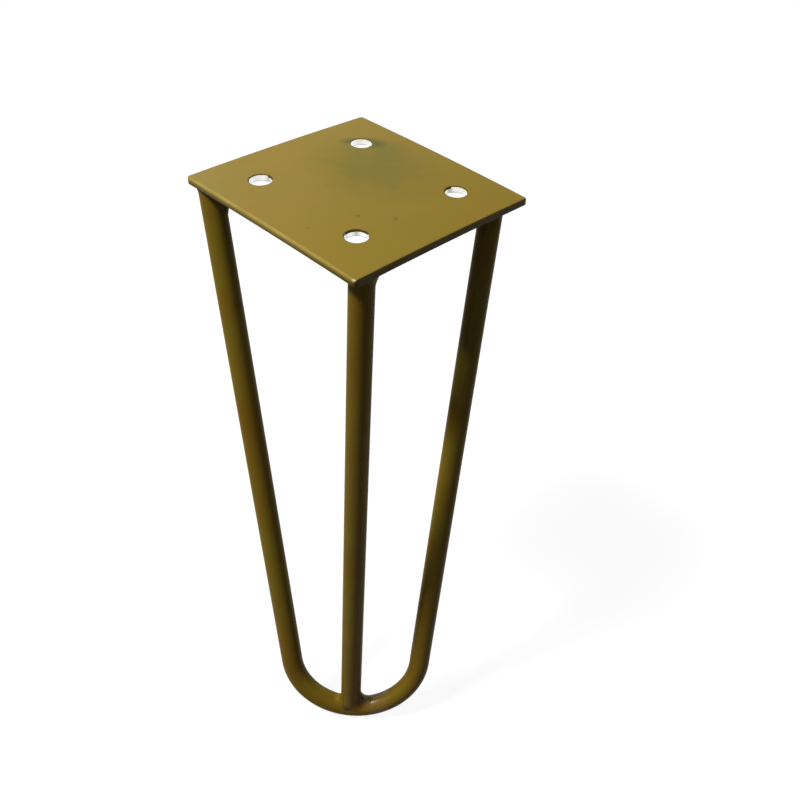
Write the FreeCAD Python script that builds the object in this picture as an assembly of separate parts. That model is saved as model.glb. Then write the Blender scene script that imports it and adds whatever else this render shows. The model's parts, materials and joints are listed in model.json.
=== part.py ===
"""Hairpin table leg: a steel bar bent to a U, a straight third bar and a drilled mounting plate, all welded together.

The row's frame: the origin is the centre of the plate's top face, which goes against the table's underside.
X runs along the plate's length, Y across it and +Z up, so the leg hangs down to z = -leg_height.
The bars stand on three corners of the plate, and the leg splays out past the corner at +X, -Y.
"""
import FreeCAD
import Part
import math
import os

Vector = FreeCAD.Vector

# Mounting plate, a piece of flat bar with rolled long edges, cut square at its two ends
plate_length = 100.0
plate_width = 92.0
plate_thickness = 3.0
plate_corner_radius = 1.5
rolled_edge_radius = 0.8

# Four screw holes on a rectangle
hole_diameter = 9.0
hole_spacing_x = 57.0
hole_spacing_y = 52.5
hole_edge_break = 0.3

# Round bar, and the bend at the foot to the bar's centre line
rod_diameter = 10.0
bend_radius = 32.0
leg_height = 250.0

# Places of the three bars: how far the side of each stands in from the two edges of its corner
left_inset_x = 1.5
left_inset_y = 1.2
right_inset_x = 5.3
right_inset_y = 4.6
brace_inset_x = 2.0
brace_inset_y = 4.5

# How far the foot splays out from the hairpin's tops, and where the third bar stands on the crown
foot_reach = 91.5
brace_foot_side = -2.9
brace_seat_height = 3.0

# Weld beads: how far each spreads on the plate, and how far it climbs the bar
plate_weld_spread = 2.8
plate_weld_climb = 3.4
weld_root_share = 0.35
foot_weld_left_spread = 2.0
foot_weld_left_climb = 1.9
foot_weld_right_spread = 4.2
foot_weld_right_climb = 4.0
foot_weld_start_share = 0.4
weld_sink = 0.2

# How far a cutting shape runs past what it cuts
overrun = 12.0

# A quarter turn in degrees
quarter_turn = 90.0

rod_radius = rod_diameter / 2.0
underside = -plate_thickness
down = Vector(0.0, 0.0, -1.0)


def top_of_bar(sign_x, sign_y, inset_x, inset_y):
    """Where a bar's centre line reaches the plate's underside, by its corner and its side's insets from the edges."""
    x = plate_length / 2.0 - rod_radius - inset_x
    y = plate_width / 2.0 - rod_radius - inset_y
    return Vector(sign_x * x, sign_y * y, underside)


hairpin_left_top = top_of_bar(-1.0, -1.0, left_inset_x, left_inset_y)
hairpin_right_top = top_of_bar(1.0, 1.0, right_inset_x, right_inset_y)
hairpin_middle = (hairpin_left_top + hairpin_right_top) / 2.0
brace_top = top_of_bar(1.0, -1.0, brace_inset_x, brace_inset_y)

# Unit directions in plan: across, from the hairpin's left top to its right one, and outward, to the third bar's corner
half_span = (hairpin_right_top - hairpin_left_top).Length / 2.0
across = (hairpin_right_top - hairpin_left_top).normalize()
outward = Vector(across.y, -across.x, 0.0)

# The hairpin's plane: it leans outward from the two tops to the crown of the bend
crown_drop = leg_height - plate_thickness - rod_radius
crown = hairpin_middle + outward * foot_reach + down * crown_drop
slope = (crown - hairpin_middle).normalize()
bend_centre = crown - slope * bend_radius
bend_axis = slope.cross(across)


def on_bend(angle):
    """A point on the bend's centre line, by its angle from the crown in radians, positive to the right."""
    return bend_centre + slope * (bend_radius * math.cos(angle)) + across * (bend_radius * math.sin(angle))


# The legs of the hairpin touch the bend's circle at this angle from the crown
centre_drop = (bend_centre - hairpin_middle).Length
top_to_centre = math.hypot(half_span, centre_drop)
tangent_angle = math.atan2(half_span, -centre_drop) - math.acos(bend_radius / top_to_centre)

brace_angle = math.asin(brace_foot_side / bend_radius)
brace_foot = on_bend(brace_angle)
brace_axis = (brace_foot - brace_top).normalize()


def half_space(point, normal):
    """A block large enough to stand for everything on the normal's side of a plane."""
    size = 4.0 * (leg_height + plate_length + plate_width)
    block = Part.makeBox(size, size, size, Vector(-size / 2.0, -size / 2.0, 0.0))
    block.Placement = FreeCAD.Placement(point, FreeCAD.Rotation(Vector(0.0, 0.0, 1.0), normal))
    return block


def rounded_rectangle(width, height, radius):
    """A closed wire in the XY plane, centred on the origin, with round corners."""
    x = width / 2.0 - radius
    y = height / 2.0 - radius
    arcs = []
    for quarter, (centre_x, centre_y) in enumerate([(x, y), (-x, y), (-x, -y), (x, -y)]):
        start = quarter * quarter_turn
        centre = Vector(centre_x, centre_y, 0.0)
        arcs.append(Part.makeCircle(radius, centre, Vector(0.0, 0.0, 1.0), start, start + quarter_turn))
    sides = []
    for arc, following in zip(arcs, arcs[1:] + arcs[:1]):
        sides.append(Part.makeLine(arc.Vertexes[-1].Point, following.Vertexes[0].Point))
    return Part.Wire(Part.__sortEdges__(arcs + sides))


def mounting_plate():
    """Flat bar with rolled long edges along X, cut to length, its corners eased and four holes drilled."""
    section = rounded_rectangle(plate_width, plate_thickness, rolled_edge_radius)
    section.rotate(Vector(), Vector(0.0, 0.0, 1.0), quarter_turn)
    section.rotate(Vector(), Vector(0.0, 1.0, 0.0), quarter_turn)
    section.translate(Vector(-plate_length / 2.0, 0.0, -plate_thickness / 2.0))
    bar = Part.Face(section).extrude(Vector(plate_length, 0.0, 0.0))
    outline = Part.Face(rounded_rectangle(plate_length, plate_width, plate_corner_radius))
    plate = bar.common(outline.extrude(down * plate_thickness))
    for sign_x in (-1.0, 1.0):
        for sign_y in (-1.0, 1.0):
            centre = Vector(sign_x * hole_spacing_x / 2.0, sign_y * hole_spacing_y / 2.0, 0.0)
            plate = plate.cut(screw_hole(centre))
    return plate


def screw_hole(centre):
    """A drilled hole through the plate, its upper rim broken by a small countersink."""
    radius = hole_diameter / 2.0
    drill = Part.makeCylinder(radius, plate_thickness + overrun, centre + down * (plate_thickness + overrun / 2.0))
    rim = Part.makeCone(radius + hole_edge_break, radius, hole_edge_break, centre, down)
    return drill.fuse(rim)


def trim_to_underside(shape):
    """What is left of a bar or bead below the plate."""
    return shape.cut(half_space(Vector(0.0, 0.0, underside), Vector(0.0, 0.0, 1.0)))


def hairpin_bar():
    """One round bar: two straight legs, tangent to the bend at the foot, cut flush with the plate."""
    left_tangent = on_bend(-tangent_angle)
    right_tangent = on_bend(tangent_angle)
    left_start = hairpin_left_top - (left_tangent - hairpin_left_top).normalize() * overrun
    right_end = hairpin_right_top - (right_tangent - hairpin_right_top).normalize() * overrun
    path = Part.Wire([
        Part.makeLine(left_start, left_tangent),
        Part.Arc(left_tangent, crown, right_tangent).toShape(),
        Part.makeLine(right_tangent, right_end),
    ])
    section = Part.Wire([Part.makeCircle(rod_radius, left_start, left_tangent - left_start)])
    return trim_to_underside(path.makePipeShell([section], True, False))


def straight_bar(hairpin):
    """The third bar, cut square at its foot and notched over the hairpin's crown."""
    start = brace_top - brace_axis * overrun
    length = (brace_foot - start).Length - brace_seat_height
    bar = Part.makeCylinder(rod_radius, length, start, brace_axis)
    return trim_to_underside(bar).cut(hairpin)


def plate_weld(top, axis, bar):
    """A concave fillet weld round a bar, where it meets the plate, kept inside the plate's flat underside."""
    lean = rod_radius / abs(axis.z)
    rings = []
    for climb_share, radius in (
        (0.0, lean + plate_weld_spread),
        (weld_root_share, lean + plate_weld_spread * weld_root_share),
        (1.0, rod_radius - weld_sink),
    ):
        centre = top + axis * (plate_weld_climb * climb_share / abs(axis.z))
        rings.append(Part.Wire([Part.makeCircle(radius, centre)]))
    flat_length = plate_length - 2.0 * rolled_edge_radius
    flat_width = plate_width - 2.0 * rolled_edge_radius
    outline = Part.Face(rounded_rectangle(flat_length, flat_width, plate_corner_radius))
    outline.translate(Vector(0.0, 0.0, underside))
    return Part.makeLoft(rings, True, False).common(outline.extrude(down * overrun)).cut(bar)


def brace_contact(side):
    """Where one side of the third bar comes down on the bend's inner surface, as an angle from the crown."""
    run = Vector(brace_axis.dot(across), brace_axis.dot(slope), 0.0).normalize()
    foot = brace_foot - bend_centre
    start = Vector(foot.dot(across), foot.dot(slope), 0.0) + Vector(run.y, -run.x, 0.0) * (side * rod_radius)
    inner_radius = bend_radius - rod_radius
    height = start.dot(run) - math.sqrt(start.dot(run) ** 2 - start.dot(start) + inner_radius ** 2)
    contact = start - run * height
    return math.atan2(contact.x, contact.y)


def foot_weld(side, spread, climb, hairpin, brace):
    """A fillet on one side of the third bar: thick against it, thinning out along the crown's inner side."""
    contact = brace_contact(side)
    rings = []
    for distance, lift_share in (
        ((foot_weld_start_share - 1.0) * rod_radius, 1.0),
        (0.0, 1.0),
        (spread * weld_root_share, weld_root_share),
        (spread, 0.0),
    ):
        ring = Part.makeCircle(rod_radius - weld_sink, crown, across)
        ring.rotate(bend_centre, bend_axis, math.degrees(contact + side * distance / bend_radius))
        ring.translate(brace_axis * (-climb * lift_share))
        rings.append(Part.Wire([ring]))
    horn = Part.makeLoft(rings, True, False)
    return horn.cut(hairpin).cut(brace)


def write(name, shape):
    """Check that a piece is one closed solid, write it and print its volume."""
    solids = shape.Solids
    if len(solids) != 1 or not solids[0].isValid():
        raise ValueError(f"{name} has {len(solids)} solids")
    solids[0].exportStep(f"parts/{name}.step")
    print(f"{name}: {solids[0].Volume / 1000.0:.3f} cm3")


os.makedirs("parts", exist_ok=True)
hairpin = hairpin_bar()
brace = straight_bar(hairpin)
left_axis = (on_bend(-tangent_angle) - hairpin_left_top).normalize()
right_axis = (on_bend(tangent_angle) - hairpin_right_top).normalize()

write("mounting_plate", mounting_plate())
write("hairpin_bar", hairpin)
write("third_bar", brace)
write("weld_hairpin_left", plate_weld(hairpin_left_top, left_axis, hairpin))
write("weld_hairpin_right", plate_weld(hairpin_right_top, right_axis, hairpin))
write("weld_third_bar", plate_weld(brace_top, brace_axis, brace))
write("weld_foot_left", foot_weld(-1.0, foot_weld_left_spread, foot_weld_left_climb, hairpin, brace))
write("weld_foot_right", foot_weld(1.0, foot_weld_right_spread, foot_weld_right_climb, hairpin, brace))
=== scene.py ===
"""Looks of the hairpin table leg: a drilled plate, a bent bar, a straight bar and welds, in satin gold paint.

Lengths are in metres, in the row's frame: the origin is the centre of the plate's top face and +Z is up.
The bars are drawn 0.01 mm thin, so that they stay inside the solids' box.
"""
import json
import math

import bmesh
import bpy
import numpy as np
from mathutils import Matrix, Vector, noise

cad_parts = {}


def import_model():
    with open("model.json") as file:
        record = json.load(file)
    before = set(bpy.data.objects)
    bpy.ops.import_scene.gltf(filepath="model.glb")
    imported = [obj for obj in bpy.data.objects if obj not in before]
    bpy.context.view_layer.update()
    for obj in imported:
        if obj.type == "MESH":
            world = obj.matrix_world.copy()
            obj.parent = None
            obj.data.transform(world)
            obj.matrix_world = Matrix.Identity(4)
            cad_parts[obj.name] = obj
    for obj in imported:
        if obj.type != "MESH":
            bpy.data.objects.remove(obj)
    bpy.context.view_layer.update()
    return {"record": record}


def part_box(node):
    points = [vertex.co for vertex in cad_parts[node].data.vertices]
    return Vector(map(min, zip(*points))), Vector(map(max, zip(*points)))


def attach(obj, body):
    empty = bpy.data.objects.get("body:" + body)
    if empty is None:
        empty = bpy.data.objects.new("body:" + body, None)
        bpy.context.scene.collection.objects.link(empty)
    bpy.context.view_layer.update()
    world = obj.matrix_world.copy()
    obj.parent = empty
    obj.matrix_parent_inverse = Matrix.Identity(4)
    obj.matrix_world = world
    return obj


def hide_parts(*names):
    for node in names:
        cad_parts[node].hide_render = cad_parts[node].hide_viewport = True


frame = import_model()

MM = 0.001
FULL_TURN = 2.0 * math.pi
QUARTER_TURN = math.pi / 2.0

# What the frame gives: the plate's size, the leg's height and the screw holes
plate_low, plate_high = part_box("mounting_plate")
half_length, half_width = plate_high.x, plate_high.y
thickness = plate_high.z - plate_low.z
leg_height = -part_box("hairpin_bar")[0].z
screws = next(m for m in frame["record"]["mounts"] if m["name"] == "plate_screws")["dims"]
hole_radius = screws["hole_r_mm"] * MM
hole_x = screws["spacing_x_mm"] * MM / 2.0
hole_y = screws["spacing_y_mm"] * MM / 2.0

# The bars: radius, bend, their tops' insets from the plate's edges and the foot's reach
rod_radius = 4.99 * MM
bend_radius = 32.0 * MM
left_inset = (6.5 * MM, 6.2 * MM)
right_inset = (10.3 * MM, 9.6 * MM)
brace_inset = (7.0 * MM, 9.5 * MM)
foot_reach = 91.5 * MM
brace_foot_side = -2.9 * MM
brace_seat_height = 3.0 * MM
brace_rim = 0.8 * MM

# The plate's edges, and how far the welds have drawn its corners down
corner_radius = 1.5 * MM
rolled_arris = 1.1 * MM
sheared_arris = 0.3 * MM
lower_arris_share = 0.35
corner_droop = 1.02 * MM

# A screw hole's wall from the top face down: how far outside the drilled radius, and how deep, in millimetres
hole_profile = [
    (0.75, 0.0), (0.42, 0.04), (0.18, 0.16), (0.04, 0.38), (0.0, 1.0),
    (0.0, 1.7), (0.0, 2.4), (0.04, 2.68), (0.16, 2.88), (0.4, 3.0),
]
hole_profile_depth = 3.0 * MM
bare_wall_depth = 1.0 * MM
bare_wall_tolerance = 0.03 * MM

# Weld beads: how deep their roots and toes lie in what they join, and their ripples
weld_root = 0.5 * MM
toe_sink = 0.05 * MM
ripple_pitch = 1.25 * MM
ripple_height = 0.07 * MM
ripple_chevron = 0.9
ripple_fade = 0.7
ripple_cut = 0.2

# The beads under the plate: their spread, how one-sided and uneven they are, and their margin from the ends
plate_weld_spread = 3.6 * MM
least_weld_spread = 0.2 * MM
plate_weld_one_sided = 3
plate_weld_lump = 0.10
plate_weld_lump_size = 4.0 * MM
plate_weld_lobe = 0.04
plate_weld_lobes = 3.0
sheared_margin = 0.7 * MM

# The beads at the foot: their least size, their half turn round the third bar in degrees, and their thinning
foot_weld_least = 0.6 * MM
foot_weld_half_turn = 87.0
foot_weld_thinning = 0.7
foot_weld_lump = 0.08
foot_weld_lump_size = 3.0 * MM
foot_weld_swell = 0.2

# The paint's unevenness: it only ever takes away, so that nothing stands proud of the solids
paint_wave = 0.035 * MM
wave_mean = -0.5
long_wave_share = 0.38
short_wave_share = 0.12
bar_wave_lengths = (17.0 * MM, 3.1 * MM)
plate_wave_lengths = (24.0 * MM, 5.0 * MM)
waved_depth = 0.5 * MM
waved_squash = 0.2

# How finely the meshes are divided, how finely the bar's end is searched for, and where edges stay sharp
bar_sides = 56
leg_rings = 150
bend_rings = 90
third_bar_rings = 170
rim_rings = 5
end_shares = (0.75, 0.5, 0.25)
plate_side_steps = 44
plate_face_rings = 30
plate_ring_crowding = 1.4
arris_rings = 6
edge_wall_rings = 4
plate_weld_sections = 420
foot_weld_sections = 220
bead_profile_steps = 9
seat_steps = 24
seat_steps_tried = range(8, 20)
seat_halvings = 40
settling_steps = 4
tiny = 1e-6
merge_distance = 0.001 * MM
bar_sharp_angle = math.radians(50.0)
bead_sharp_angle = math.radians(60.0)

# Camera, from the outlines measured in the photo
focal_pixels = 853.4
image_size = 800.0
principal = (515.0, 440.0)
plate_centre_pixel = (359.06, 184.80)
plate_centre_depth = 341.5 * MM
camera_azimuth = math.radians(36.90)
camera_elevation = math.radians(43.31)
camera_roll = math.radians(6.27)
sensor_width = 36.0
nearest_seen = 0.01
furthest_seen = 50.0

# Softboxes: name, azimuth and elevation in degrees, distance and side in metres, and power in watts
softboxes = [
    ("key", -35.0, 61.0, 2.2, 0.42, 52.0),
    ("left_fill", 255.0, 28.0, 2.4, 1.0, 5.0),
    ("back_fill", 165.0, 20.0, 2.6, 1.2, 7.0),
]

# The white surroundings: the even light on the leg, and the floor as it lights, as it shows and as it glows
white = (1.0, 1.0, 1.0, 1.0)
ambient_colour = (0.95, 0.97, 1.0, 1.0)
ambient_strength = 0.05
floor_reach = 6.0
floor_lighting = (0.10, 0.10, 0.10, 1.0)
floor_shown = (0.12, 0.12, 0.12, 1.0)
floor_glow = 0.93

# The paint's colours, linear, with painted shade and painted highlight tones among them
plate_gold = (0.264, 0.172, 0.021, 1.0)
plate_olive = (0.240, 0.172, 0.020, 1.0)
# Painted shade: the browner tone of the plate's right side
plate_right_painted_shade = (0.212, 0.142, 0.008, 1.0)
# Painted highlight: the light tone of the plate's front left edge
plate_edge_highlight_tone = (0.365, 0.275, 0.068, 1.0)
bar_olive = (0.182, 0.128, 0.009, 1.0)
bar_brown = (0.178, 0.096, 0.005, 1.0)
smudge_dark = (0.082, 0.080, 0.010, 1.0)
smudge_olive = (0.158, 0.132, 0.014, 1.0)
# Painted shade: the dark tone of the hole rims, the plate's ends, far edge and lower edge
painted_shade_brown = (0.055, 0.038, 0.004, 1.0)
# Painted glint on the plate's front tip
tip_painted_glint = (0.78, 0.68, 0.46, 1.0)
# Painted shadow at the third bar's foot
foot_shadow_brown = (0.028, 0.016, 0.002, 1.0)
speck_brown = (0.115, 0.088, 0.006, 1.0)
hole_steel = (1.0, 0.99, 0.97, 1.0)

# The paint's textures: waves per metre, detail and roughness of each, and where one tone turns to the next
tone_clouds = (38.0, 3.0, 0.55)
tone_turn = (0.35, 0.65)
patch_clouds = (95.0, 5.0, 0.5)
gloss_clouds = (160.0, 4.0, 0.5)
peel_clouds = (900.0, 2.0, 0.5)
peel_strength = 0.12
peel_height = 0.1 * MM

# The paint's gloss
paint_roughness = (0.42, 0.52)
paint_ior = 1.45
coat_roughness = 0.26
bar_specular = 0.04
bar_coat = 0.08
plate_specular = 0.055
plate_coat = 0.11

# The drilled steel in the holes: its scoring, in waves per metre along each axis, and its roughness
scoring_scale = (200.0, 200.0, 9000.0)
scoring_clouds = (1.0, 2.0, 0.5)
steel_roughness = (0.38, 0.52)

# Marks on the plate's top: each has a place and its reach along the axes, and a smudge has a tone and weight
mark_depth = 20.0 * MM
smudges = [
    ((-6.0 * MM, 15.0 * MM, 0.0), (36.0 * MM, 28.0 * MM, mark_depth), smudge_olive, 0.8),
    ((-16.0 * MM, 29.0 * MM, 0.0), (18.0 * MM, 11.0 * MM, mark_depth), smudge_olive, 0.75),
    ((-24.4 * MM, 30.4 * MM, 0.0), (6.6 * MM, 5.8 * MM, mark_depth), smudge_dark, 0.9),
    ((-33.2 * MM, 23.2 * MM, 0.0), (4.6 * MM, 4.6 * MM, mark_depth), smudge_dark, 0.65),
]
specks = [
    ((18.0 * MM, -16.2 * MM, 0.0), (1.2 * MM, 1.2 * MM, mark_depth)),
    ((28.8 * MM, -7.1 * MM, 0.0), (1.5 * MM, 1.2 * MM, mark_depth)),
    ((12.8 * MM, -35.9 * MM, 0.0), (0.7 * MM, 0.7 * MM, mark_depth)),
]
smudge_full = 0.4
speck_turn = (0.1, 0.8)
speck_weight = 0.75

# Where painted shade turns the plate browner, measured across it from its middle to the right
right_shade_start = -20.0 * MM
right_shade_full = 60.0 * MM

# Painted shade on the hole rims, the cut ends, the far edge and the lower edge: where it starts and is full
rim_painted_shade = (0.65 * MM, 0.2 * MM)
rim_painted_shade_weight = 0.85
end_painted_shade = (0.7 * MM, 0.15 * MM)
back_painted_shade = (0.9 * MM, 0.3 * MM)
edge_painted_shade_weight = 0.6
lower_painted_shade = (-2.0 * MM, -3.0 * MM)
lower_painted_shade_weight = 0.8

# Painted highlight along the front left edge, in from the edge and down from the drooping corner, and the
# painted glint on the tip
edge_highlight_inset = (1.15 * MM, 0.75 * MM)
edge_highlight_drop = (0.9 * MM, 0.35 * MM)
edge_highlight_turn = (0.1, 0.6)
tip_glint_reach = (2.6 * MM, 1.2 * MM, 0.9 * MM)
tip_glint_full = 0.5
tip_glint_weight = 0.9

# Painted shadow in the crevice where the third bar's foot meets the crown: place, reach along each axis and
# weight
foot_painted_shadows = [
    ((58.9 * MM, -74.0 * MM, -240.7 * MM), (3.0 * MM, 3.0 * MM, 2.4 * MM), 0.85),
    ((61.9 * MM, -68.2 * MM, -238.9 * MM), (3.8 * MM, 3.8 * MM, 3.8 * MM), 0.8),
]
foot_shadow_full = 0.6

# The shiny place on the crown beside the painted shadow, where the clear coat is heavier
shiny_place = (67.2 * MM, -62.0 * MM, -238.1 * MM)
shiny_reach = (9.0 * MM, 9.0 * MM, 9.0 * MM)
shiny_full = 0.5
shiny_coat = 0.5


def unit(vector):
    """A vector's direction, one long."""
    return vector / np.linalg.norm(vector)


def bow(x, y):
    """How far the plate has been drawn down at a place, as a negative height."""
    return -corner_droop * (x * x + y * y) / (half_length ** 2 + half_width ** 2)


def plate_point(sign_x, sign_y, inset):
    """A bar's place on the plate's underside, from its corner and its inset from the two edges."""
    return np.array([sign_x * (half_length - inset[0]), sign_y * (half_width - inset[1]), -thickness])


# The three tops, and the plane of the hairpin: it leans outward from two of them to the crown of the bend
up = np.array([0.0, 0.0, 1.0])
left_top = plate_point(-1.0, -1.0, left_inset)
right_top = plate_point(1.0, 1.0, right_inset)
brace_top = plate_point(1.0, -1.0, brace_inset)
across = unit(right_top - left_top)
outward = np.array([across[1], -across[0], 0.0])
hairpin_middle = (left_top + right_top) / 2.0
crown = hairpin_middle + outward * foot_reach - up * (leg_height - thickness - rod_radius)
slope = unit(crown - hairpin_middle)
bend_centre = crown - slope * bend_radius
bend_normal = unit(np.cross(across, slope))


def on_bend(angle):
    """A point on the bend's centre line, by its angle from the crown, positive to the right."""
    return bend_centre + slope * (bend_radius * math.cos(angle)) + across * (bend_radius * math.sin(angle))


# Where the hairpin's legs touch the bend, and the axes of all three bars, from top to foot
half_span = np.linalg.norm(right_top - left_top) / 2.0
centre_drop = np.linalg.norm(bend_centre - hairpin_middle)
top_to_centre = math.hypot(half_span, centre_drop)
tangent_angle = math.atan2(half_span, -centre_drop) - math.acos(bend_radius / top_to_centre)
left_tangent = on_bend(-tangent_angle)
right_tangent = on_bend(tangent_angle)
left_axis = unit(left_tangent - left_top)
right_axis = unit(right_tangent - right_top)
brace_foot = on_bend(math.asin(brace_foot_side / bend_radius))
brace_axis = unit(brace_foot - brace_top)

# Two directions across the third bar: to the right along the crown, and to the front
brace_side = unit(across - brace_axis * across.dot(brace_axis))
brace_front = np.cross(brace_axis, brace_side)


def distance_to_bend(point):
    """How far a point is from the bend's centre line."""
    offset = point - bend_centre
    height = offset.dot(bend_normal)
    return math.hypot(np.linalg.norm(offset - bend_normal * height) - bend_radius, height)


def bend_surface(point):
    """The nearest point on the bend's surface, and the surface's normal there."""
    offset = point - bend_centre
    in_plane = unit(offset - bend_normal * offset.dot(bend_normal))
    line = bend_centre + in_plane * bend_radius
    normal = unit(point - line)
    return line + normal * rod_radius, normal


def make_piece(name, vertices, faces, material, sharp_angle=None):
    """A mesh object with smooth shading that rides on the leg and takes its finish from the gold paint."""
    mesh = bpy.data.meshes.new(name)
    mesh.from_pydata([tuple(v) for v in vertices], [], faces)
    joined = bmesh.new()
    joined.from_mesh(mesh)
    bmesh.ops.remove_doubles(joined, verts=joined.verts, dist=merge_distance)
    bmesh.ops.recalc_face_normals(joined, faces=joined.faces)
    joined.to_mesh(mesh)
    joined.free()
    piece = bpy.data.objects.new(name, mesh)
    bpy.context.scene.collection.objects.link(piece)
    if sharp_angle is None:
        mesh.shade_smooth()
    else:
        mesh.set_sharp_from_angle(angle=sharp_angle)
    mesh.materials.append(material)
    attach(piece, "root")
    return piece


def grid_faces(rows, columns, close_rows=False, close_columns=True, first=0):
    """Quads over a grid of vertices, row after row, starting at a vertex number."""
    faces = []
    for i in range(rows if close_rows else rows - 1):
        for j in range(columns if close_columns else columns - 1):
            ahead, beside = (i + 1) % rows, (j + 1) % columns
            corners = (i * columns + j, i * columns + beside, ahead * columns + beside, ahead * columns + j)
            faces.append(tuple(first + c for c in corners))
    return faces


def tube_faces(rows, columns):
    """Quads over a tube made of rings, with a cap on each end."""
    last = (rows - 1) * columns
    caps = [tuple(range(columns)), tuple(last + k for k in reversed(range(columns)))]
    return grid_faces(rows, columns) + caps


def paint_lift(point, wave_lengths):
    """The paint's unevenness at a point, from -1 to 0: long waves with a little short orange peel."""
    long_wave, short_wave = (noise.noise(Vector(point) / length) for length in wave_lengths)
    return wave_mean + long_wave_share * long_wave + short_wave_share * short_wave


def painted(place, out):
    """A place on a bar, moved in by its uneven paint, given the way out of the bar."""
    return place + out * paint_wave * paint_lift(place, bar_wave_lengths)


def hairpin_ring(point, tangent):
    """A ring of the bent bar round a point of its centre line."""
    side = np.cross(tangent, bend_normal)
    ring = []
    for k in range(bar_sides):
        angle = FULL_TURN * k / bar_sides
        out = bend_normal * math.cos(angle) + side * math.sin(angle)
        ring.append(painted(point + out * rod_radius, out))
    return ring


def trim_ring(ring, axis):
    """Slide a ring's points along the bar until they lie in the middle of the bowed plate's thickness."""
    trimmed = []
    for point in ring:
        level = bow(point[0], point[1]) - thickness / 2.0
        trimmed.append(point + axis * (level - point[2]) / axis[2])
    return trimmed


def hairpin_piece(material):
    """The bent bar: two straight legs tangent to the bend at the foot."""
    rings = []
    for k in range(leg_rings):
        point = left_top + (left_tangent - left_top) * k / leg_rings
        rings.append(hairpin_ring(point, left_axis))
    for k in range(bend_rings + 1):
        angle = tangent_angle * (2.0 * k / bend_rings - 1.0)
        tangent = across * math.cos(angle) - slope * math.sin(angle)
        rings.append(hairpin_ring(on_bend(angle), tangent))
    for k in range(1, leg_rings + 1):
        point = right_tangent + (right_top - right_tangent) * k / leg_rings
        rings.append(hairpin_ring(point, -right_axis))
    rings[0] = trim_ring(rings[0], left_axis)
    rings[-1] = trim_ring(rings[-1], right_axis)
    vertices = np.array(rings).reshape(-1, 3)
    faces = tube_faces(len(rings), bar_sides)
    piece = make_piece("hairpin_painted", vertices, faces, material, bar_sharp_angle)
    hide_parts("hairpin_bar")


def seat_distance(out, radius):
    """How far up from its foot point the third bar ends, at a place on its section: its end is notched."""
    start = brace_foot + out * radius
    reach = 2.0 * rod_radius
    above = [distance_to_bend(start - brace_axis * reach * k / seat_steps) for k in seat_steps_tried]
    if distance_to_bend(start) > rod_radius or min(above) > rod_radius:
        return brace_seat_height
    low, high = 0.0, reach
    for _ in range(seat_halvings):
        middle = (low + high) / 2.0
        if distance_to_bend(start - brace_axis * middle) < rod_radius:
            low = middle
        else:
            high = middle
    return max(brace_seat_height, low)


def brace_out(angle):
    """A direction across the third bar, by its angle from the right, with a quarter turn to the front."""
    return brace_side * math.cos(angle) + brace_front * math.sin(angle)


def brace_end(out, radius, rise):
    """A point at the third bar's end: a radius out from its axis, and a rise up from its foot point."""
    return brace_foot - brace_axis * rise + out * radius


def third_bar_piece(material):
    """The straight bar, its foot notched over the crown, with the end's rim eased by the paint."""
    length = np.linalg.norm(brace_foot - brace_top)
    directions = [brace_out(FULL_TURN * k / bar_sides) for k in range(bar_sides)]
    seats = [seat_distance(out, rod_radius) for out in directions]
    rings = []
    for i in range(third_bar_rings + 1):
        ring = []
        for out, seat in zip(directions, seats):
            span = length - seat - brace_rim
            place = brace_top + brace_axis * span * i / third_bar_rings + out * rod_radius
            ring.append(painted(place, out))
        rings.append(ring)
    rings[0] = trim_ring(rings[0], brace_axis)
    for i in range(1, rim_rings + 1):
        turn = QUARTER_TURN * i / rim_rings
        radius = rod_radius - brace_rim * (1.0 - math.cos(turn))
        rise = brace_rim * (1.0 - math.sin(turn))
        rings.append([brace_end(out, radius, seat + rise) for out, seat in zip(directions, seats)])
    for share in end_shares:
        radius = (rod_radius - brace_rim) * share
        rings.append([brace_end(out, radius, seat_distance(out, radius)) for out in directions])
    vertices = np.array(rings).reshape(-1, 3)
    faces = tube_faces(len(rings), bar_sides)
    piece = make_piece("third_bar_painted", vertices, faces, material, bar_sharp_angle)
    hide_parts("third_bar")


def rounded_outline(x, y):
    """Move a point of the plate's sharp outline onto its rounded one, and give the outline's normal."""
    centre = np.array([half_length - corner_radius, half_width - corner_radius])
    place = np.array([x, y])
    if x > centre[0] and y > centre[1]:
        normal = unit(place - centre)
        place = centre + normal * corner_radius
    elif half_length - x < half_width - y:
        normal = np.array([1.0, 0.0])
    else:
        normal = np.array([0.0, 1.0])
    return place, normal


def quarter_outline():
    """The sharp outline of the plate's +X, +Y quarter: from its middle to the end, the corner and back."""
    steps = plate_side_steps
    flat_length, flat_width = half_length - sheared_arris, half_width - rolled_arris
    outline = [(flat_length * k / steps, 0.0) for k in range(steps)]
    outline += [(half_length, half_width * k / steps) for k in range(steps)]
    outline += [(half_length * (1.0 - k / steps), half_width) for k in range(steps + 1)]
    outline += [(0.0, flat_width * (1.0 - k / steps)) for k in range(1, steps)]
    return outline


def plate_edge(outline):
    """The points of the outline that lie on the plate's own edge, by number: place, normal and arris."""
    edge = {}
    for k in range(plate_side_steps, 3 * plate_side_steps + 1):
        place, normal = rounded_outline(*outline[k])
        edge[k] = (place, normal, rolled_arris * normal[1] ** 2 + sheared_arris * normal[0] ** 2)
    return edge


def beside_hole(corner, outside):
    """The point beside a hole's drilled radius that lies towards a point of the outline."""
    hole = np.array([hole_x, hole_y])
    return hole + unit(np.array(corner) - hole) * (hole_radius + outside)


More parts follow.
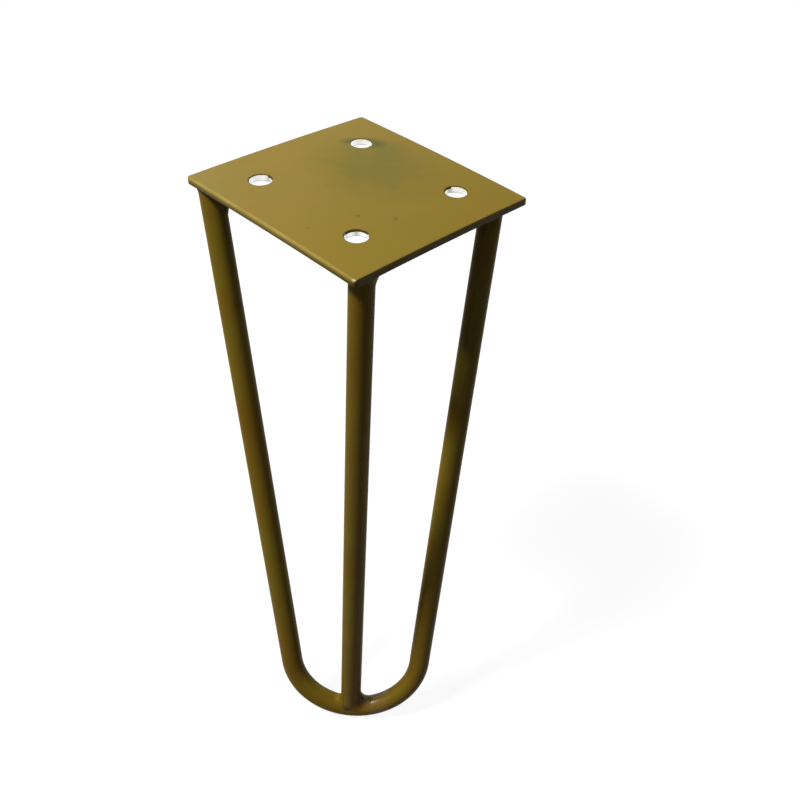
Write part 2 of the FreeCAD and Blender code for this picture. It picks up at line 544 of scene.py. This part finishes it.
def face_rings(outline, edge, lip, level):
    """Rings from a hole's rim out to the quarter's outline, on the top face or the underside."""
    rings = []
    for i in range(plate_face_rings + 1):
        share = (i / plate_face_rings) ** plate_ring_crowding
        ring = []
        for k, corner in enumerate(outline):
            outer = np.array(corner)
            if k in edge:
                place, normal, arris = edge[k]
                outer = place - normal * arris
            inner = beside_hole(corner, lip)
            flat = inner + (outer - inner) * share
            ring.append((flat[0], flat[1], level))
        rings.append(ring)
    return rings


def hole_rings(outline):
    """Rings down a hole's wall."""
    depth_scale = thickness / hole_profile_depth
    rings = []
    for outside, depth in hole_profile:
        points = [beside_hole(corner, outside * MM) for corner in outline]
        rings.append([(x, y, -depth * MM * depth_scale) for x, y in points])
    return rings


def edge_rings(edge):
    """Rings down the plate's edge: the upper arris, the upright wall and the lower arris."""
    turns = [QUARTER_TURN * i / arris_rings for i in range(arris_rings + 1)]
    upper, wall, lower = [], [], []
    for turn in turns:
        upper.append([])
        lower.append([])
        for place, normal, arris in edge.values():
            x, y = place - normal * arris * (1.0 - math.sin(turn))
            upper[-1].append((x, y, -arris * (1.0 - math.cos(turn))))
            x, y = place - normal * arris * (1.0 - math.cos(turn))
            lower[-1].append((x, y, -thickness + arris * lower_arris_share * (1.0 - math.sin(turn))))
    for i in range(1, edge_wall_rings):
        wall.append([])
        for place, _, arris in edge.values():
            height = thickness - arris * (1.0 + lower_arris_share)
            wall[-1].append((place[0], place[1], -arris - height * i / edge_wall_rings))
    return upper + wall + lower


def plate_piece(material):
    """The bowed plate, as four quarters round a hole each, with soft edges along X and crisp ends."""
    outline = quarter_outline()
    edge = plate_edge(outline)
    parts = [
        (face_rings(outline, edge, hole_profile[0][0] * MM, 0.0), True),
        (face_rings(outline, edge, hole_profile[-1][0] * MM, -thickness), True),
        (hole_rings(outline), True),
        (edge_rings(edge), False),
    ]
    vertices, faces = [], []
    for sign_x in (-1.0, 1.0):
        for sign_y in (-1.0, 1.0):
            for rings, closed in parts:
                faces.extend(grid_faces(len(rings), len(rings[0]), False, closed, len(vertices)))
                vertices.extend((x * sign_x, y * sign_y, z) for ring in rings for x, y, z in ring)
    bowed = []
    for x, y, z in vertices:
        lift = 0.0
        if z > -waved_depth:
            lift = paint_wave * paint_lift((x, y, z * waved_squash), plate_wave_lengths)
        bowed.append((x, y, z + bow(x, y) + lift))
    piece = make_piece("plate_painted", bowed, faces, material)
    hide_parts("mounting_plate")
    return piece


def bare_hole_walls(plate, steel):
    """Give the walls of the four screw holes, below their painted rims, a material of their own."""
    plate.data.materials.append(steel)
    for face in plate.data.polygons:
        x, y, z = face.center
        outside = math.hypot(abs(x) - hole_x, abs(y) - hole_y) - hole_radius
        if outside < bare_wall_tolerance and z < -bare_wall_depth:
            face.material_index = 1


def bead_section(junction, toe_a, normal_a, toe_b, normal_b, swell, travelled):
    """One section of a bead: its root, and its rippled face from one toe to the other."""
    root = junction - (normal_a + normal_b) * weld_root
    middle = (toe_a + toe_b) / 2.0
    open_way = unit(middle - root)
    control = junction + (middle - junction) * swell
    section = [root, toe_a - normal_a * weld_root]
    for i in range(bead_profile_steps + 1):
        s = i / bead_profile_steps
        place = toe_a * (1.0 - s) ** 2 + control * 2.0 * s * (1.0 - s) + toe_b * s ** 2
        chevron = ripple_chevron * (2.0 * s - 1.0) ** 2
        beat = math.cos(FULL_TURN * (travelled / ripple_pitch - chevron))
        fade = math.sin(math.pi * s) ** ripple_fade
        section.append(place + open_way * ripple_height * fade * (beat - ripple_cut))
    section.append(toe_b - normal_b * weld_root)
    return section


def bead(name, node, columns, closed, material):
    """A weld bead from its columns: each has the junction, two toes with their normals, and a swell."""
    sections = []
    travelled = 0.0
    previous = columns[0][0]
    for column in columns:
        travelled += np.linalg.norm(column[0] - previous)
        previous = column[0]
        sections.append(bead_section(*column, travelled))
    rows, width = len(sections), len(sections[0])
    faces = grid_faces(rows, width, True) if closed else tube_faces(rows, width)
    piece = make_piece(name, np.array(sections).reshape(-1, 3), faces, material, bead_sharp_angle)
    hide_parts(node)


def room_on_plate(point, flat):
    """How far a bead can spread from a point on the underside, in a level direction, before an edge."""
    room_x = (half_length - sheared_margin - abs(point[0])) / max(abs(flat[0]), tiny)
    room_y = (half_width - rolled_arris - abs(point[1])) / max(abs(flat[1]), tiny)
    inward_x, inward_y = flat[0] * point[0] < 0.0, flat[1] * point[1] < 0.0
    return min(1.0 if inward_x else room_x, 1.0 if inward_y else room_y)


def plate_weld_piece(name, node, top, axis, climb, least, swell, material):
    """The fillet round a bar under the plate: full on its right side, and its least share on its left."""
    side = unit(np.cross(axis, np.array([0.0, 1.0, 0.0])))
    front = np.cross(axis, side)
    columns = []
    for k in range(plate_weld_sections):
        angle = FULL_TURN * k / plate_weld_sections
        out = side * math.cos(angle) + front * math.sin(angle)
        junction = top + out * rod_radius
        for _ in range(settling_steps):
            level = bow(junction[0], junction[1]) - thickness
            junction = junction + axis * (level - junction[2]) / axis[2]
        lump = plate_weld_lump * noise.noise(Vector(junction) / plate_weld_lump_size)
        uneven = 1.0 + lump + plate_weld_lobe * math.sin(plate_weld_lobes * angle)
        flat = unit(np.array([out[0], out[1], 0.0]))
        share = least + (1.0 - least) * (0.5 + 0.5 * flat.dot(across)) ** plate_weld_one_sided
        toe_a = junction + axis * climb * share * uneven - out * toe_sink
        room = max(room_on_plate(junction, flat), least_weld_spread)
        toe_b = junction + flat * min(plate_weld_spread * share * uneven, room)
        toe_b[2] = bow(toe_b[0], toe_b[1]) - thickness + toe_sink
        columns.append((junction, toe_a, out, toe_b, -up, swell * share))
    bead(name, node, columns, True, material)


def foot_weld_piece(name, node, side_sign, spread, climb, material):
    """The fillet between the third bar's foot and the crown on one side, thinning out to front and back."""
    half_turn = math.radians(foot_weld_half_turn)
    columns = []
    for k in range(foot_weld_sections + 1):
        swing = half_turn * (2.0 * k / foot_weld_sections - 1.0)
        out = brace_out(swing if side_sign > 0.0 else math.pi - swing)
        junction = brace_foot + out * rod_radius - brace_axis * seat_distance(out, rod_radius)
        share = max(math.cos(swing * 90.0 / foot_weld_half_turn), 0.0) ** foot_weld_thinning
        uneven = 1.0 + foot_weld_lump * noise.noise(Vector(junction) / foot_weld_lump_size)
        toe_a = junction - brace_axis * (foot_weld_least + climb * share * uneven) - out * toe_sink
        normal = bend_surface(junction)[1]
        away = unit(out - normal * out.dot(normal))
        toe_b, toe_normal = bend_surface(junction + away * (foot_weld_least + spread * share * uneven))
        columns.append((junction, toe_a, out, toe_b - toe_normal * toe_sink, toe_normal, foot_weld_swell))
    bead(name, node, columns, False, material)


def node_adder(tree):
    """Empty a node tree, and give the helper that adds a node with its settings and inputs."""
    tree.nodes.clear()

    def add(kind, inputs=(), **settings):
        node = tree.nodes.new(kind)
        for key, value in settings.items():
            setattr(node, key, value)
        for key, value in dict(inputs).items():
            if isinstance(value, bpy.types.NodeSocket):
                tree.links.new(value, node.inputs[key])
            else:
                node.inputs[key].default_value = value
        return node

    return add


def new_material(name):
    """An empty node material, and the helper that adds its nodes."""
    material = bpy.data.materials.new(name)
    material.use_nodes = True
    return material, node_adder(material.node_tree)


def clouds(add, coordinates, scale, detail, roughness):
    """A cloudy noise from about 0 to 1."""
    inputs = {"Vector": coordinates, "Scale": scale, "Detail": detail, "Roughness": roughness}
    return add("ShaderNodeTexNoise", inputs).outputs["Fac"]


def ramp(add, value, start, end, low=0.0, high=1.0):
    """A value between start and end, carried to low and high, and held there beyond."""
    inputs = {"Value": value, "From Min": start, "From Max": end, "To Min": low, "To Max": high}
    return add("ShaderNodeMapRange", inputs).outputs[0]


def blend(add, shade, tone, share):
    """A shade with a share of a tone mixed into it."""
    inputs = {"Factor": share, "A": shade, "B": tone}
    return add("ShaderNodeMix", inputs, data_type="RGBA").outputs["Result"]


def combine(add, operation, first, second):
    """One step of arithmetic on two values."""
    return add("ShaderNodeMath", {0: first, 1: second}, operation=operation).outputs[0]


def spot(add, coordinates, place, reach):
    """A soft spot: 1 at its place, falling to 0 at its reach along each axis."""
    inputs = {"Vector": coordinates, "Location": place, "Scale": reach}
    mapped = add("ShaderNodeMapping", inputs, vector_type="TEXTURE").outputs[0]
    return add("ShaderNodeTexGradient", {"Vector": mapped}, gradient_type="SPHERICAL").outputs["Fac"]


def two_tones(add, coordinates, light_tone, dark_tone):
    """The paint's slow change between two tones."""
    share = ramp(add, clouds(add, coordinates, *tone_clouds), *tone_turn)
    return blend(add, light_tone, dark_tone, share)


def satin_surface(add, coordinates, shade, specular, coat):
    """The paint's shader: satin with patches of gloss, orange peel and a thin clear coat."""
    gloss = clouds(add, coordinates, *gloss_clouds)
    peel = clouds(add, coordinates, *peel_clouds)
    bump = add("ShaderNodeBump", {"Height": peel, "Strength": peel_strength, "Distance": peel_height})
    shader = add("ShaderNodeBsdfPrincipled", {
        "Base Color": shade,
        "Roughness": ramp(add, gloss, 0.0, 1.0, *paint_roughness),
        "Normal": bump.outputs[0],
        "Metallic": 0.0,
        "IOR": paint_ior,
        "Specular IOR Level": specular,
        "Coat Weight": coat,
        "Coat Roughness": coat_roughness,
    })
    add("ShaderNodeOutputMaterial", {"Surface": shader.outputs[0]})


def bar_paint_material():
    """The paint on the bars and beads, with painted shadow and the shiny place at the third bar's foot."""
    material, add = new_material("gold_paint_bars")
    coordinates = add("ShaderNodeTexCoord").outputs["Object"]
    shade = two_tones(add, coordinates, bar_olive, bar_brown)
    # Painted shadow in the crevice where the third bar's foot meets the crown
    for place, reach, weight in foot_painted_shadows:
        crevice_shadow = spot(add, coordinates, place, reach)
        shade = blend(add, shade, foot_shadow_brown, ramp(add, crevice_shadow, 0.0, foot_shadow_full, 0.0, weight))
    shine = spot(add, coordinates, shiny_place, shiny_reach)
    coat = ramp(add, shine, 0.0, shiny_full, bar_coat, shiny_coat)
    satin_surface(add, coordinates, shade, bar_specular, coat)
    return material


def plate_stains_and_painted_shade(add, coordinates, shade, patchy):
    """Painted shade that turns the plate browner to the right, its olive stain with dark smudges, and its
    specks.
    """
    dot = add("ShaderNodeVectorMath", {0: coordinates, 1: tuple(across)}, operation="DOT_PRODUCT")
    # Painted shade: the plate turns browner towards its right side
    shade = blend(add, shade, plate_right_painted_shade, ramp(add, dot.outputs["Value"], right_shade_start, right_shade_full))
    for place, reach, tone, weight in smudges:
        smudge = combine(add, "MULTIPLY", spot(add, coordinates, place, reach), patchy)
        shade = blend(add, shade, tone, ramp(add, smudge, 0.0, smudge_full, 0.0, weight))
    for place, reach in specks:
        speck = spot(add, coordinates, place, reach)
        shade = blend(add, shade, speck_brown, ramp(add, speck, *speck_turn, 0.0, speck_weight))
    return shade


def plate_rim_painted_shade(add, folded, shade):
    """Painted shade round the rims of the holes. Folded coordinates put all four holes in one place."""
    levelled = {0: folded, 1: (1.0, 1.0, 0.0)}
    flat = add("ShaderNodeVectorMath", levelled, operation="MULTIPLY").outputs["Vector"]
    from_hole = {0: flat, 1: (hole_x, hole_y, 0.0)}
    distance = add("ShaderNodeVectorMath", from_hole, operation="DISTANCE").outputs["Value"]
    start, end = (hole_radius + outside for outside in rim_painted_shade)
    # Painted shade: a dark ring round each hole's rim
    rim_shade = ramp(add, distance, start, end, 0.0, rim_painted_shade_weight)
    return blend(add, shade, painted_shade_brown, rim_shade)


def plate_edge_painted_light(add, coordinates, folded, shade, patchy):
    """Painted shade on the ends, the far edge and the lower edge, a painted highlight along the front left
    edge and a painted glint on the tip.
    """
    axes = add("ShaderNodeSeparateXYZ", {"Vector": coordinates}).outputs
    folded_axes = add("ShaderNodeSeparateXYZ", {"Vector": folded}).outputs
    # Painted shade on the plate's cut ends and far edge
    start, end = (half_length - inset for inset in end_painted_shade)
    near_end = ramp(add, folded_axes["X"], start, end, 0.0, edge_painted_shade_weight)
    start, end = (half_width - inset for inset in back_painted_shade)
    near_back = ramp(add, axes["Y"], start, end, 0.0, edge_painted_shade_weight)
    shade = blend(add, shade, painted_shade_brown, combine(add, "MAXIMUM", near_end, near_back))
    # Painted highlight along the front left edge
    start, end = (half_width - inset for inset in edge_highlight_inset)
    edge_highlight_share = ramp(add, folded_axes["Y"], start, end)
    start, end = (-corner_droop - drop for drop in edge_highlight_drop)
    edge_highlight_share = combine(add, "MULTIPLY", edge_highlight_share, ramp(add, axes["Z"], start, end))
    edge_highlight_share = combine(add, "MULTIPLY", edge_highlight_share, combine(add, "LESS_THAN", axes["Y"], 0.0))
    edge_highlight_share = combine(add, "MULTIPLY", edge_highlight_share, patchy)
    shade = blend(add, shade, plate_edge_highlight_tone, ramp(add, edge_highlight_share, *edge_highlight_turn))
    # Painted shade on the plate's lower edge and underside
    shade = blend(add, shade, painted_shade_brown, ramp(add, axes["Z"], *lower_painted_shade, 0.0, lower_painted_shade_weight))
    # Painted glint on the front tip
    tip = spot(add, coordinates, (half_length, -half_width, -corner_droop), tip_glint_reach)
    return blend(add, shade, tip_painted_glint, ramp(add, tip, 0.0, tip_glint_full, 0.0, tip_glint_weight))


def plate_paint_material():
    """The paint on the plate, with its stains and specks, and with painted shade and painted highlights."""
    material, add = new_material("gold_paint_plate")
    coordinates = add("ShaderNodeTexCoord").outputs["Object"]
    folded = add("ShaderNodeVectorMath", {0: coordinates}, operation="ABSOLUTE").outputs["Vector"]
    patchy = clouds(add, coordinates, *patch_clouds)
    shade = two_tones(add, coordinates, plate_gold, plate_olive)
    shade = plate_stains_and_painted_shade(add, coordinates, shade, patchy)
    shade = plate_rim_painted_shade(add, folded, shade)
    shade = plate_edge_painted_light(add, coordinates, folded, shade, patchy)
    satin_surface(add, coordinates, shade, plate_specular, plate_coat)
    return material


def bare_steel_material():
    """The drilled walls of the screw holes: bright steel, finely scored round the hole."""
    material, add = new_material("drilled_steel")
    coordinates = add("ShaderNodeTexCoord").outputs["Object"]
    scoring = add("ShaderNodeMapping", {"Vector": coordinates, "Scale": scoring_scale}).outputs[0]
    roughness = ramp(add, clouds(add, scoring, *scoring_clouds), 0.0, 1.0, *steel_roughness)
    inputs = {"Base Color": hole_steel, "Roughness": roughness, "Metallic": 1.0}
    shader = add("ShaderNodeBsdfPrincipled", inputs)
    add("ShaderNodeOutputMaterial", {"Surface": shader.outputs[0]})
    return material


def seen_directly(add):
    """1 for rays that show the background: from the camera, or by way of gloss or glass."""
    path = add("ShaderNodeLightPath").outputs
    seen = combine(add, "MAXIMUM", path["Is Camera Ray"], path["Is Glossy Ray"])
    return combine(add, "MAXIMUM", seen, path["Is Transmission Ray"])


def floor_material():
    """A pale floor: white to the eye with the leg's soft shadow on it, and quiet as a source of light."""
    material, add = new_material("pale_floor")
    lighting = add("ShaderNodeBsdfDiffuse", {"Color": floor_lighting}).outputs[0]
    lit = add("ShaderNodeBsdfDiffuse", {"Color": floor_shown}).outputs[0]
    glow = add("ShaderNodeEmission", {"Color": white, "Strength": floor_glow}).outputs[0]
    shown = add("ShaderNodeAddShader", {0: lit, 1: glow}).outputs[0]
    mixed = add("ShaderNodeMixShader", {"Fac": seen_directly(add), 1: lighting, 2: shown})
    add("ShaderNodeOutputMaterial", {"Surface": mixed.outputs[0]})
    return material


def floor():
    """The floor that the leg's foot reaches, far larger than the view."""
    mesh = bpy.data.meshes.new("floor")
    signs = [(-1.0, -1.0), (1.0, -1.0), (1.0, 1.0), (-1.0, 1.0)]
    corners = [(x * floor_reach, y * floor_reach, -leg_height) for x, y in signs]
    mesh.from_pydata(corners, [], [(0, 1, 2, 3)])
    mesh.materials.append(floor_material())
    plane = bpy.data.objects.new("floor", mesh)
    bpy.context.scene.collection.objects.link(plane)


def world():
    """White to the eye, and a low even light on the object."""
    studio = bpy.data.worlds.new("studio")
    bpy.context.scene.world = studio
    studio.use_nodes = True
    add = node_adder(studio.node_tree)
    ambient = add("ShaderNodeBackground", {"Color": ambient_colour, "Strength": ambient_strength}).outputs[0]
    shown = add("ShaderNodeBackground", {"Color": white, "Strength": 1.0}).outputs[0]
    mixed = add("ShaderNodeMixShader", {"Fac": seen_directly(add), 1: ambient, 2: shown})
    add("ShaderNodeOutputWorld", {"Surface": mixed.outputs[0]})


def direction(azimuth, elevation):
    """From the object towards a place: azimuth 0 is -Y and a quarter turn is +X."""
    level = math.cos(elevation)
    return Vector((math.sin(azimuth) * level, -math.cos(azimuth) * level, math.sin(elevation)))


def lamp(name, azimuth, elevation, distance, size, power):
    """A square softbox that looks at the middle of the leg."""
    light = bpy.data.lights.new(name, "AREA")
    light.shape = "SQUARE"
    light.size = size
    light.energy = power
    holder = bpy.data.objects.new(name, light)
    aim = Vector((0.0, 0.0, -leg_height / 2.0))
    towards = direction(math.radians(azimuth), math.radians(elevation))
    holder.location = aim + towards * distance
    holder.rotation_euler = towards.to_track_quat("Z", "Y").to_euler()
    bpy.context.scene.collection.objects.link(holder)


def camera():
    """The photo's camera: it looks down on the leg, a little rolled, with its view shifted."""
    back = direction(camera_azimuth, camera_elevation)
    right = Vector((math.cos(camera_azimuth), math.sin(camera_azimuth), 0.0))
    level_up = back.cross(right)
    turned_right = right * math.cos(camera_roll) + level_up * math.sin(camera_roll)
    turned_up = level_up * math.cos(camera_roll) - right * math.sin(camera_roll)
    across_view = (plate_centre_pixel[0] - principal[0]) / focal_pixels * plate_centre_depth
    up_view = (principal[1] - plate_centre_pixel[1]) / focal_pixels * plate_centre_depth
    place = back * plate_centre_depth - turned_right * across_view - turned_up * up_view
    data = bpy.data.cameras.new("photo_camera")
    data.sensor_width = sensor_width
    data.lens = focal_pixels / image_size * sensor_width
    data.shift_x = 0.5 - principal[0] / image_size
    data.shift_y = principal[1] / image_size - 0.5
    data.clip_start = nearest_seen
    data.clip_end = furthest_seen
    holder = bpy.data.objects.new("photo_camera", data)
    turn = Matrix((turned_right, turned_up, back)).transposed().to_4x4()
    holder.matrix_world = Matrix.Translation(place) @ turn
    bpy.context.scene.collection.objects.link(holder)
    bpy.context.scene.camera = holder


camera()
world()
floor()
for softbox in softboxes:
    lamp(*softbox)

bar_paint = bar_paint_material()
bare_hole_walls(plate_piece(plate_paint_material()), bare_steel_material())
hairpin_piece(bar_paint)
third_bar_piece(bar_paint)
plate_weld_piece("bead_hairpin_left", "weld_hairpin_left", left_top, left_axis,
                 climb=12.5 * MM, least=0.3, swell=1.0, material=bar_paint)
plate_weld_piece("bead_hairpin_right", "weld_hairpin_right", right_top, right_axis,
                 climb=5.0 * MM, least=0.7, swell=0.3, material=bar_paint)
plate_weld_piece("bead_third_bar", "weld_third_bar", brace_top, brace_axis,
                 climb=6.6 * MM, least=0.5, swell=0.35, material=bar_paint)
foot_weld_piece("bead_foot_left", "weld_foot_left",
                side_sign=-1.0, spread=3.0 * MM, climb=3.2 * MM, material=bar_paint)
foot_weld_piece("bead_foot_right", "weld_foot_right",
                side_sign=1.0, spread=5.4 * MM, climb=6.8 * MM, material=bar_paint)

bpy.context.scene.view_settings.view_transform = "Standard"
